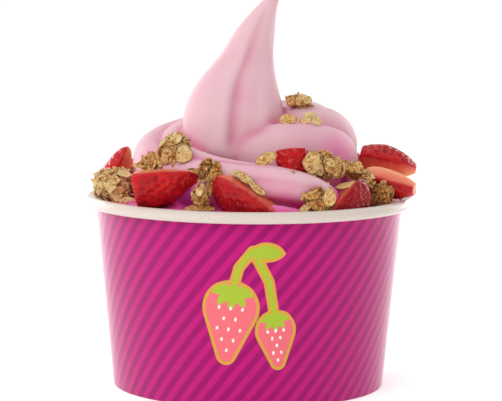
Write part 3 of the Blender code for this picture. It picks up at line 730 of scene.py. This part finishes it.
def makeWedge(row, draw):
    # One cut berry: the outline carried along the axis and scaled by the berry's radius, its ends drawn in to
    # a rounded flat cut, its skin dimpled at every seed, and an egg-shaped seed set in each dimple
    centre, tip, skin, length, radius, sweep, kept = row
    xAxis = unit(tip)
    zAxis = unit(np.array(skin, float) - xAxis * np.dot(skin, xAxis))
    yAxis = np.cross(zAxis, xAxis)
    outline = wedgeOutline(sweep)
    low, high = max(kept[0], 0.015), min(kept[1], 0.985)
    s = np.linspace(low, high, berry["stations"])
    edge = 0.8 / length  # the cut's rounded edge
    sIn = np.concatenate([np.full(4, low), low + edge * np.array([0.08, 0.3, 0.65])])
    sOut = np.concatenate([high - edge * np.array([0.65, 0.3, 0.08]), np.full(4, high)])
    shrinkIn = np.array([0.25, 0.5, 0.75, 0.93, 0.965, 0.985, 0.996])
    s = np.concatenate([sIn, s[1:-1][(s[1:-1] > low + edge) & (s[1:-1] < high - edge)], sOut])
    shrink = np.ones(len(s))
    shrink[:7], shrink[-7:] = shrinkIn, shrinkIn[::-1]
    share = outline[:, :2]
    heart = np.array([0, 0.52])  # the section shrinks towards this point
    section = heart + (share[None] - heart) * shrink[:, None, None]
    fromAxis = np.linalg.norm(section, axis=-1)
    angle = np.arctan2(section[..., 0], section[..., 1])
    onSkin = outline[None, :, 2] * smoothStep(0.9, 0.97, shrink)[:, None]
    size = radius * berryRadius(s)[:, None]
    phase = draw.uniform(0, fullTurn, 6)
    wobble = 1 + 0.018 * np.sin(3 * angle + 9 * s[:, None] + phase[0]) + 0.012 * np.sin(5 * angle - 17 * s[:, None] + phase[1])
    seeds = seedLattice(length, radius, sweep, (low, high))
    seeds = seeds + draw.normal(0, 0.012, seeds.shape) * [1.6, 1.0]
    turnGap = (angle[..., None] - seeds[:, 0]) * size[..., None]
    lengthGap = (s[:, None, None] - seeds[:, 1]) * length
    nearest = np.sqrt((turnGap**2 + lengthGap**2).min(-1))
    dent = berry["dimple"] * np.exp(-(nearest / berry["dimpleWidth"])**2)
    bulge = 0.18 * smoothStep(0.8, 1.9, nearest)
    reach = size * wobble + onSkin * (bulge - dent)
    sag = 0.10 * np.sin(7 * fromAxis + 11 * s[:, None] + phase[2]) * (1 - onSkin)  # uneven cut faces
    local = section * reach[..., None]
    local[..., 0] += sag * 0.8
    local[..., 1] -= berry["coreOffset"] * size
    along = (s - sum(kept) / 2) * length
    grid = (np.array(centre, float) + along[:, None, None] * xAxis
            + local[..., 0, None] * yAxis + local[..., 1, None] * zAxis)
    points, faces = closedTube(grid)
    ends = [0.5, 0.5]
    values = {
        "skin": np.concatenate([onSkin.ravel(), [0, 0]]),
        "core": np.concatenate([np.clip(fromAxis, 0, 1).ravel(), ends]),
        "lengthwise": np.concatenate([np.broadcast_to(s[:, None] * length, fromAxis.shape).ravel(), [0, length]]),
        "round": np.concatenate([(angle * radius).ravel(), [0, 0]]),
    }
    parts = [(points, faces, values)]
    # seeds: a small egg grid, placed by each seed's own axes as one array
    ringTurn = np.linspace(0, fullTurn, 7, endpoint=False)
    ringRise = np.radians([-50, 0, 50])
    egg = np.stack([np.cos(ringRise)[:, None] * np.cos(ringTurn) * (1 + 0.18 * np.cos(ringTurn)),
                    np.cos(ringRise)[:, None] * np.sin(ringTurn),
                    np.broadcast_to(np.sin(ringRise)[:, None], (3, 7))], -1)
    eggPoints, eggFaces = closedTube(egg)
    eggPoints[-2:, 2] = [-1, 1]
    eggPoints = eggPoints * np.array(berry["seedSize"]) / 2
    for turn, share in seeds:
        size1 = radius * float(berryRadius(np.array(share)))
        if size1 < radius * 0.22:
            continue
        out = math.cos(turn) * zAxis + math.sin(turn) * yAxis
        slope = float(berryRadius(np.array(share + 0.01)) - berryRadius(np.array(share - 0.01))) * radius / (0.02 * length)
        lengthWay = unit(xAxis + out * slope)
        normal = unit(out - lengthWay * (out @ lengthWay))
        sideWay = np.cross(normal, lengthWay)
        waist = 1 + 0.018 * math.sin(3 * turn + 9 * share + phase[0])
        base = (np.array(centre, float) + (share - sum(kept) / 2) * length * xAxis
                + out * size1 * waist - zAxis * berry["coreOffset"] * size1
                - normal * (berry["dimple"] - 0.12))
        big = draw.uniform(0.85, 1.15)
        placed = base + big * (eggPoints[:, :1] * lengthWay + eggPoints[:, 1:2] * sideWay + eggPoints[:, 2:] * normal)
        parts.append((placed, eggFaces, {"seed": 1.0, "skin": 1.0, "core": 1.0, "lengthwise": share * length,
                                         "round": turn * radius, "seedTone": draw.uniform(0, 1)}))
    return joined(parts)


def makeBerryMaterial():
    # Fresh strawberry, cut with a knife: glossy thin red skin over wet flesh that pales towards the heart,
    # with light threads that run out to the seeds
    material, shader = newMaterial("cut strawberry", Roughness=0.3, IOR=1.38, Specular_IOR_Level=0.22,
                                   Coat_Weight=0.11, Coat_Roughness=0.1,
                                   Subsurface_Weight=0.22, Subsurface_Scale=0.002,
                                   Subsurface_Radius=(1.0, 0.25, 0.15))
    skin = addNode(material, "Attribute", attribute_name="skin")
    core = addNode(material, "Attribute", attribute_name="core")
    seed = addNode(material, "Attribute", attribute_name="seed")
    seedTone = addNode(material, "Attribute", attribute_name="seedTone")
    lengthwise = addNode(material, "Attribute", attribute_name="lengthwise")
    turn = addNode(material, "Attribute", attribute_name="round")
    where = addNode(material, "TexCoord")
    grid = addNode(material, "CombineXYZ", {0: lengthwise.outputs["Fac"], 1: turn.outputs["Fac"],
                                            2: core.outputs["Fac"]})
    threads = addNode(material, "TexNoise", {"Vector": grid.outputs[0], "Scale": 0.75, "Detail": 3.0})
    thread = addNode(material, "MapRange", {"Value": threads.outputs[0], "From Min": 0.52, "From Max": 0.75,
                                            "To Max": 0.15})
    cloud = addNode(material, "TexNoise", {"Vector": where.outputs["Object"], "Scale": 160.0, "Detail": 3.0})
    drift = addNode(material, "MapRange", {"Value": cloud.outputs[0], "To Min": -0.16, "To Max": 0.16})
    ripe = addNode(material, "Math", {0: core.outputs["Fac"], 1: drift.outputs[0]}, operation="ADD")
    flesh = addNode(material, "ValToRGB", {0: ripe.outputs[0]},
                    [(0.03, berry["core"]), (0.35, berry["flesh"]), (0.82, berry["rind"]), (0.97, berry["underSkin"])])
    inner = addNode(material, "Mix", {0: thread.outputs[0], 6: flesh.outputs[0], 7: linear("#F6C9A4")},
                    data_type="RGBA")
    blush = addNode(material, "ValToRGB", {0: cloud.outputs[0]}, [(0.3, berry["skinDeep"]), (0.62, berry["skin"])])
    # a darker red mixed into some wedges' skin: painted shade
    skinShade = addNode(material, "Attribute", attribute_name="skinShade")
    red = addNode(material, "Mix", {0: skinShade.outputs["Fac"], 6: blush.outputs[0], 7: linear(berry["shadedRed"])},
                  data_type="RGBA")
    both = addNode(material, "Mix", {0: skin.outputs["Fac"], 6: inner.outputs[2], 7: red.outputs[2]},
                   data_type="RGBA")
    husk = addNode(material, "ValToRGB", {0: seedTone.outputs["Fac"]}, [(0.0, "#9A1A1E"), (1.0, berry["seed"])])
    colour = addNode(material, "Mix", {0: seed.outputs["Fac"], 6: both.outputs[2], 7: husk.outputs[0]},
                     data_type="RGBA")
    fine = addNode(material, "TexNoise", {"Vector": where.outputs["Object"], "Scale": 900.0, "Detail": 3.0})
    bump = addNode(material, "Bump", {"Height": fine.outputs[0], "Strength": 0.16, "Distance": 0.0004})
    tree = material.node_tree
    tree.links.new(colour.outputs[2], shader.inputs["Base Color"])
    tree.links.new(bump.outputs[0], shader.inputs["Normal"])
    return material


def makeStrawberries():
    draw = np.random.default_rng(21)
    material = makeBerryMaterial()
    for n, row in enumerate(berry["rows"], 1):
        points, faces, values = makeWedge(row, draw)
        values["skinShade"] = np.full(len(points), berry["skinShade"].get(n, 0.1))
        addPiece(f"strawberryWedge{n:02d}", points, faces, [material], values, [f"strawberry_{n:02d}"])


# ---- granola ----

oats = {
    "lump": 0.16, "flake": (5.6, 4.5, 0.7), "coverage": 0.62, "grain": 1.9,
    "light": "#FFE0A2", "golden": "#EEB064", "toast": "#C8803C", "crevice": "#743E16",
    # centre, half sizes, turn about Z, lean about its own Y
    "rows": [
        ((-47.0, -10.6, 70.7), (7.0, 6.0, 5.8), 10, 0), ((-33.2, -27.0, 80.3), (3.8, 3.2, 3.8), 20, 0),
        ((-25.2, -31.2, 85.6), (5.2, 3.8, 5.2), 30, 20), ((-13.5, -42.4, 79.6), (3.1, 2.5, 3.5), 10, 20),
        ((-16.3, -47.2, 71.2), (2.6, 2.4, 3.8), 0, 0), ((25.6, -33.2, 80.6), (5.5, 3.1, 4.1), 10, 20),
        ((36.6, -25.0, 77.6), (6.8, 3.0, 2.4), -20, 24), ((22.7, -46.0, 69.5), (4.6, 2.9, 4.6), 20, 0),
        ((45.2, -22.4, 68.8), (3.3, 3.3, 5.0), 30, 0), ((17.0, -2.0, 100.1), (4.3, 3.2, 2.1), 0, 10),
        ((46.6, 13.4, 68.6), (4.2, 6.0, 3.6), 0, 0), ((29.0, 34.3, 81.5), (4.6, 4.0, 4.0), 40, 0),
        ((12.2, 46.3, 70.0), (4.0, 3.8, 4.6), 80, 0), ((-13.0, 42.0, 80.8), (4.5, 3.6, 4.2), 100, 0),
        ((-27.6, 35.0, 82.6), (4.4, 3.6, 4.0), 130, 0), ((-43.8, 20.3, 69.6), (3.6, 3.5, 4.4), 150, 0),
        ((-14.0, 25.0, 95.5), (5.0, 3.8, 2.8), 30, 0),
    ],
    # big flakes by cluster: centre, length, width, way of the face, way of the length, tone
    "bigFlakes": {
        1: [((-45.8, -17.0, 67.6), 5.8, 3.6, (0.35, -0.9, 0.35), (1, 0, -0.6), 0.75),
            ((-41.8, -17.6, 66.4), 5.6, 3.0, (-0.1, -0.9, 0.55), (1, 0, -0.2), 0.8),
            ((-47.6, -16.8, 71.4), 5.4, 3.6, (0.0, -1, 0.2), (0.3, 0, 1), 1.0),
            ((-52.0, -14.4, 70.4), 5.0, 4.0, (-0.6, -0.8, 0.1), (0, 0, 1), 0.85),
            ((-43.4, -14.6, 75.4), 5.4, 3.8, (0.2, -0.6, 0.8), (1, 0, -0.2), 0.85)],
        2: [((-33.4, -30.4, 82.0), 5.6, 2.6, (0.2, -1, 0.3), (0.1, 0, 1), 0.65),
            ((-30.4, -31.0, 82.4), 6.4, 2.9, (-0.3, -1, 0.1), (-0.15, 0, 1), 0.8),
            ((-37.0, -28.6, 79.8), 5.0, 3.6, (0, -0.5, 1), (1, 0, 0.1), 0.75)],
        3: [((-22.2, -36.0, 84.4), 6.6, 5.8, (0.25, -1, 0.25), (0.3, 0, 1), 0.8),
            ((-25.0, -33.6, 89.4), 5.4, 3.8, (0.1, -1, 0.5), (0.7, 0, 1), 1.0),
            ((-28.0, -34.0, 87.6), 4.6, 3.2, (-0.3, -1, 0.3), (-0.6, 0, 1), 0.9)],
        4: [((-11.3, -45.6, 79.6), 6.4, 4.2, (0.35, -1, 0.1), (0.3, 0, 1), 0.6),
            ((-12.8, -45.4, 75.2), 5.0, 2.2, (0.1, -1, 0.1), (-0.1, 0, 1), 0.6),
            ((-18.0, -43.4, 79.6), 5.4, 3.2, (0.0, -0.4, 1), (1, 0, -0.1), 0.6)],
        5: [((-16.4, -49.2, 67.7), 11.2, 4.2, (0.0, -0.4, 1), (1, 0, 0.03), 0.6)],
        6: [((21.1, -36.2, 82.0), 8.6, 6.2, (-0.15, -1, 0.3), (0.05, 0, 1), 0.75),
            ((27.4, -36.0, 82.0), 5.2, 3.6, (0.2, -0.8, 0.7), (1, 0, -0.4), 0.75),
            ((29.4, -35.4, 79.4), 4.6, 3.2, (0.5, -1, 0.1), (0.3, 0, 1), 0.6)],
        7: [((35.6, -28.0, 79.0), 9.0, 4.4, (0.2, -0.55, 1), (1, 0, -0.35), 0.5),
            ((32.4, -34.2, 73.9), 7.6, 3.0, (-0.2, -0.7, 1), (1, 0, 0.34), 0.75)],
        8: [((26.7, -48.8, 71.6), 6.6, 4.4, (0.25, -1, 0.15), (0.1, 0, 1), 0.85),
            ((20.9, -48.6, 72.4), 6.4, 4.2, (-0.15, -0.7, 0.8), (1, 0, 0.2), 0.6),
            ((22.8, -49.4, 69.0), 5.6, 4.0, (0.1, -1, 0.2), (1, 0, -0.2), 0.45),
            ((18.4, -49.2, 67.7), 3.2, 2.6, (-0.2, -1, 0.4), (1, 0, 0.3), 0.9)],
        9: [((42.6, -25.4, 69.6), 7.6, 2.6, (-0.5, -1, 0.1), (0.05, 0, 1), 0.45),
            ((44.8, -26.2, 69.8), 8.2, 2.4, (0.2, -1, 0.1), (0.0, 0, 1), 0.35),
            ((46.6, -25.6, 69.6), 7.8, 2.4, (-0.1, -1, 0.1), (-0.05, 0, 1), 0.5),
            ((48.2, -24.4, 69.6), 7.2, 2.4, (0.7, -1, 0.1), (0.02, 0, 1), 0.35)],
        10: [((14.4, -5.2, 99.8), 3.6, 2.6, (-0.3, -1, 0.5), (1, 0, 0.3), 0.5),
             ((17.1, -5.4, 100.6), 3.8, 2.4, (0.1, -1, 0.5), (0.3, 0, 1), 0.65),
             ((19.8, -4.6, 101.0), 3.8, 2.8, (0.3, -0.9, 0.5), (1, 0, -0.2), 0.85)],
    },
    "seeds": {1: 8},  # of the random draws of a cluster, else its number
    "lightAndToneShift": {1: 0.3, 3: 0.16, 4: -0.25, 5: -0.14, 8: -0.06, 9: -0.14, 10: 0.08},  # added to a cluster's tone; on cluster 1 it is painted light, for a cluster that sits out of the key light
    # single flakes on the yogurt: x, y, height of the middle above it, length, width, way of the face,
    # way of the length, tone
    "loose": [(13.2, -16.4, 1.3, 6.4, 4.0, (0, -1, 0.7), (1, 0, 0.0), 0.75),
              (19.2, -14.6, 1.3, 4.6, 3.4, (-0.3, -1, 0.6), (1, 0.3, 0.3), 0.85),
              (22.6, -14.4, 1.5, 5.0, 3.4, (0.3, -1, 0.6), (1, -0.4, -0.2), 1.0),
              (20.6, -13.6, 3.0, 4.4, 3.4, (-0.2, -1, 0.8), (0.6, -0.5, 0.5), 1.05),
              (5.6, -38.6, 2.0, 8.0, 4.8, (-0.3, -0.9, 0.6), (1, 0, 0.5), 0.7)],
    # flakes stuck on the front berry: centre, length, width, way of the face, way of the length, tone
    "stuck": [((-1.6, -46.8, 77.3), 7.4, 4.2, (0.4, -0.6, 0.7), (0.8, 0, -0.5), 0.85),
              ((2.6, -48.0, 74.2), 7.2, 3.8, (0.45, -0.6, 0.6), (0.75, 0, -0.66), 0.75),
              ((-4.2, -45.6, 79.0), 4.4, 3.2, (0.1, -0.6, 0.8), (1, 0, 0.1), 1.0)],
    # places of crumbs: x, y, spread, count
    "crumbs": [(-44, -20, 3.0, 10), (-36, -33, 3.5, 8), (-10, -48, 3.5, 9), (28, -40, 4.0, 12), (41, -26, 4.0, 9),
               (14, -48, 3.0, 6), (48, 20, 4.0, 8), (20, 40, 5.0, 8), (-20, 44, 5.0, 8), (-46, 12, 4.0, 7)],
    "crumb": (0.6, 1.7),
}


def flakeShape(draw, length, width, thick, around=12, rings=(0.42, 0.8, 1.0)):
    # A rolled oat: an uneven oval disc of rings, thick in the middle, creased along its length, and cupped
    turn = np.linspace(0, fullTurn, around, endpoint=False)
    rings = np.array(rings)
    uneven = 1 + 0.07 * np.sin(3 * turn + draw.uniform(0, 6)) + 0.06 * np.sin(5 * turn + draw.uniform(0, 6))
    x = rings[:, None] * np.cos(turn) * uneven * length / 2
    y = rings[:, None] * np.sin(turn) * uneven * width / 2
    body = np.sqrt(1 - np.minimum(rings, 0.93)**2)[:, None] * thick / 2
    crease = 0.4 * thick * np.exp(-(y / (0.14 * width))**2) * (1 - (2 * x / length)**2)
    bend = draw.uniform(-0.04, 0.07) * x**2 + draw.uniform(-0.03, 0.08) * y**2
    bend = bend + draw.uniform(-0.03, 0.03) * x * y + 0.14 * np.sin(2 * turn + draw.uniform(0, 6)) * rings[:, None]
    bend = bend + 0.10 * thick * np.sin(5 * turn + 9 * rings[:, None] + draw.uniform(0, 6))
    top, under = bend + body - crease, bend - body
    upper = np.stack([x, y, top], -1)
    lower = np.stack([x, y, under], -1)[:-1][::-1]
    points, faces = closedTube(np.concatenate([upper, lower]))
    points[-2] = [0, 0, thick / 2 - 0.4 * thick]
    points[-1] = [0, 0, -thick / 2]
    rim = np.concatenate([upper[..., 2] * 0 + rings[:, None]**3, lower[..., 2] * 0 + rings[:-1][::-1, None]**3])
    return points, faces, np.concatenate([rim.ravel(), [0.0, 0.0]])


def frameOf(normal, turn):
    # Three axes with the third along normal, the first two turned about it
    normal = unit(normal)
    helper = np.array([0, 0, 1.0]) if abs(normal[2]) < 0.9 else np.array([1.0, 0, 0])
    first = unit(np.cross(helper, normal))
    second = np.cross(normal, first)
    return np.stack([first * math.cos(turn) + second * math.sin(turn),
                     second * math.cos(turn) - first * math.sin(turn), normal])


def flakeAxes(face, along):
    # Three axes: along with its share of face taken off, the one across both, and face
    face = unit(face)
    first = unit(np.array(along, float) - face * (face @ np.array(along, float)))
    return np.stack([first, np.cross(face, first), face])


def evenDirections(count, shift):
    # Directions spread evenly over a ball by the golden angle
    k = np.arange(count) + 0.5
    z = 1 - 2 * k / count
    turn = k * math.pi * (3 - math.sqrt(5)) + shift
    r = np.sqrt(1 - z * z)
    return np.stack([r * np.cos(turn), r * np.sin(turn), z], -1)


def lumps(way, centre):
    # Relief of a cluster: two crossing sine waves, as in the solid that it stands for
    wave = np.sin(way @ [5.1, 2.3, 3.7] + centre[0]) + np.sin(way @ [-3.1, 4.4, 2.9] + centre[1])
    return 1 + oats["lump"] * wave / 2


def makeCluster(row, big, draw):
    # A core of crumb, oat flakes pressed flat on it all round, grains in the gaps, and the big flakes of the table
    centre, half, turn, lean = row
    turn, lean = math.radians(turn), math.radians(lean)
    tilt = np.array([[math.cos(lean), 0, math.sin(lean)], [0, 1, 0], [-math.sin(lean), 0, math.cos(lean)]])
    spin = np.array([[math.cos(turn), -math.sin(turn), 0], [math.sin(turn), math.cos(turn), 0], [0, 0, 1]])
    half = np.array(half, float)
    rise, round_ = np.linspace(-np.pi / 2, np.pi / 2, 38)[1:-1], np.linspace(0, fullTurn, 60, endpoint=False)
    way = np.stack([np.cos(rise)[:, None] * np.cos(round_), np.cos(rise)[:, None] * np.sin(round_),
                    np.broadcast_to(np.sin(rise)[:, None], (36, 60))], -1)
    crumb = 0.06 * np.sin(way @ [19, 7, 13] + centre[0]) + 0.05 * np.sin(way @ [-11, 23, 9] + centre[1])
    crumb = crumb + 0.05 * np.sin(way @ [31, -27, 17] + centre[2])
    size = (lumps(way, centre) * 0.92 + crumb)[..., None]
    core, coreFaces = closedTube((way * size * half) @ tilt.T @ spin.T + np.array(centre, float))
    # tone of the core: darker toasted crumb, and darker still in its dips, painted shade
    coreTone = 0.42 + 2.2 * np.append(crumb.ravel(), [0, 0])
    parts = [(core, coreFaces, {"tone": coreTone, "rim": 0.1})]
    pairs = (half[0] * half[1])**1.6 + (half[0] * half[2])**1.6 + (half[1] * half[2])**1.6
    area = 4 * math.pi * (pairs / 3) ** (1 / 1.6)

    def place(way, reach, slack, shape, tone):
        skin = way * lumps(way, centre) * half * reach
        points, faces, rim = shape
        points = points @ frameOf(unit(way / half) + draw.normal(0, slack, 3), draw.uniform(0, 6)) + skin
        parts.append((points @ tilt.T @ spin.T + np.array(centre, float), faces, {"tone": tone, "rim": rim}))

    count = max(12, int(area * oats["coverage"] / 8))
    for way in evenDirections(count, draw.uniform(0, 6)):
        scale = draw.uniform(0.55, 1.0) * min(1.0, 0.4 + half.mean() / 7)
        length, width, thick = np.array(oats["flake"]) * [scale, scale * draw.uniform(0.75, 1.0), 1]
        place(unit(way + draw.normal(0, 0.12, 3)), draw.uniform(0.92, 1.06), 0.34,
              flakeShape(draw, length, width, thick * draw.uniform(0.8, 1.3)), draw.uniform(0.35, 1.0))
    for way in evenDirections(int(area / 3.2), draw.uniform(0, 6)):
        size = oats["grain"] * draw.uniform(0.5, 1.0)
        place(unit(way + draw.normal(0, 0.2, 3)), draw.uniform(0.96, 1.1), 2.0,
              flakeShape(draw, size, size * 0.7, size * 0.6, 6, (0.6, 1.0)), draw.uniform(0.2, 1.0))
    for at, length, width, face, along, tone in big:
        points, faces, rim = flakeShape(draw, length, width, oats["flake"][2])
        parts.append((points @ flakeAxes(face, along) + np.array(at), faces, {"tone": tone, "rim": rim}))
    return joined(parts)


def makeOatMaterial():
    # Baked rolled oats in honey: dry golden-tan flakes with pale rims and bran specks, toasted crumb between
    # them, and a thin sugar glaze; specks and folds are darker in the dips of the bump, painted shade
    material, shader = newMaterial("baked granola", Roughness=0.6, IOR=1.45, Specular_IOR_Level=0.3,
                                   Subsurface_Weight=0.08, Subsurface_Scale=0.001,
                                   Subsurface_Radius=(1.0, 0.6, 0.3))
    tone = addNode(material, "Attribute", attribute_name="tone")
    rim = addNode(material, "Attribute", attribute_name="rim")
    where = addNode(material, "TexCoord")
    # painted shade: both noises also make the bump, and the tone falls in their dips
    fine = addNode(material, "TexNoise", {"Vector": where.outputs["Object"], "Scale": 1100.0, "Detail": 5.0,
                                          "Roughness": 0.7})
    drift = addNode(material, "MapRange", {"Value": fine.outputs[0], "From Min": 0.3, "From Max": 0.7,
                                           "To Min": -0.36, "To Max": 0.42})
    folds = addNode(material, "TexNoise", {"Vector": where.outputs["Object"], "Scale": 520.0, "Detail": 2.0,
                                           "Distortion": 1.2})
    wrinkleShade = addNode(material, "MapRange", {"Value": folds.outputs[0], "From Min": 0.36, "From Max": 0.56,
                                             "To Min": -0.36, "To Max": 0.08}, interpolation_type="SMOOTHSTEP")
    dark = addNode(material, "Math", {0: wrinkleShade.outputs[0], 1: drift.outputs[0]}, operation="ADD")
    pick = addNode(material, "Math", {0: tone.outputs["Fac"], 1: dark.outputs[0]}, operation="ADD")
    baked = addNode(material, "ValToRGB", {0: pick.outputs[0]},
                    [(0.0, oats["crevice"]), (0.3, oats["toast"]), (0.62, oats["golden"]), (1.0, oats["light"])])
    pale = addNode(material, "MapRange", {"Value": rim.outputs["Fac"], "From Min": 0.5, "From Max": 1.0,
                                          "To Max": 0.45})
    colour = addNode(material, "Mix", {0: pale.outputs[0], 6: baked.outputs[0], 7: linear(oats["light"])},
                     data_type="RGBA")
    relief = addNode(material, "Math", {0: folds.outputs[0], 1: 1.6, 2: fine.outputs[0]}, operation="MULTIPLY_ADD")
    bump = addNode(material, "Bump", {"Height": relief.outputs[0], "Strength": 0.9, "Distance": 0.0012})
    tree = material.node_tree
    tree.links.new(colour.outputs[2], shader.inputs["Base Color"])
    tree.links.new(bump.outputs[0], shader.inputs["Normal"])
    return material


def makeGranola(yogurt):
    # The clusters, then the single flakes and crumbs, dropped straight down on the yogurt
    material = makeOatMaterial()
    for n, row in enumerate(oats["rows"], 1):
        draw = np.random.default_rng(oats["seeds"].get(n, n))
        points, faces, values = makeCluster(row, oats["bigFlakes"].get(n, []), draw)
        # lighter or darker tone per cluster; painted light on cluster 1
        values["tone"] = values["tone"] + oats["lightAndToneShift"].get(n, 0)
        addPiece(f"granolaCluster{n:02d}", points, faces, [material], values, [f"granola_{n:02d}"])
    draw = np.random.default_rng(8)
    ground = BVHTree.FromObject(yogurt, bpy.context.evaluated_depsgraph_get())
    down = Vector((0, 0, -1))
    parts = []
    for x, y, lift, length, width, face, along, tone in oats["loose"]:
        hit = ground.ray_cast(Vector((x, y, 160)) * mm, down)[0]
        points, faces, rim = flakeShape(draw, length, width, oats["flake"][2])
        at = np.array(hit) / mm + [0, 0, lift]
        parts.append((points @ flakeAxes(face, along) + at, faces, {"tone": tone, "rim": rim}))
    for at, length, width, face, along, tone in oats["stuck"]:
        points, faces, rim = flakeShape(draw, length, width, oats["flake"][2])
        parts.append((points @ flakeAxes(face, along) + np.array(at), faces, {"tone": tone, "rim": rim}))
    points, faces, values = joined(parts)
    addPiece("looseOats", points, faces, [material], values)
    parts = []
    for x, y, spread, count in oats["crumbs"]:
        for _ in range(count):
            at = Vector((x + draw.normal(0, spread), y + draw.normal(0, spread), 160)) * mm
            hit, normal, _, _ = ground.ray_cast(at, down)
            size = draw.uniform(*oats["crumb"])
            shape = flakeShape(draw, size, size * 0.75, size * 0.6, 6, (0.6, 1.0))
            turn, tone = draw.uniform(0, 6), draw.uniform(0.3, 1.0)
            if hit is None or math.hypot(hit.x, hit.y) / mm > cup["neckRadius"] - 3:
                continue
            points, faces, rim = shape
            at = np.array(hit) / mm + np.array(normal) * size * 0.2
            axes = flakeAxes(np.array(normal), (math.cos(turn), math.sin(turn), 0.1))
            parts.append((points @ axes + at, faces, {"tone": tone, "rim": rim}))
    points, faces, values = joined(parts)
    addPiece("granolaCrumbs", points, faces, [material], values)


makeCamera()
makeStudio()
print("camera and studio ready")
makeCup()
print("cup ready")
yogurt = makeYogurt()
print("yogurt ready")
makeStrawberries()
print("strawberries ready")
makeGranola(yogurt)
print("granola ready")
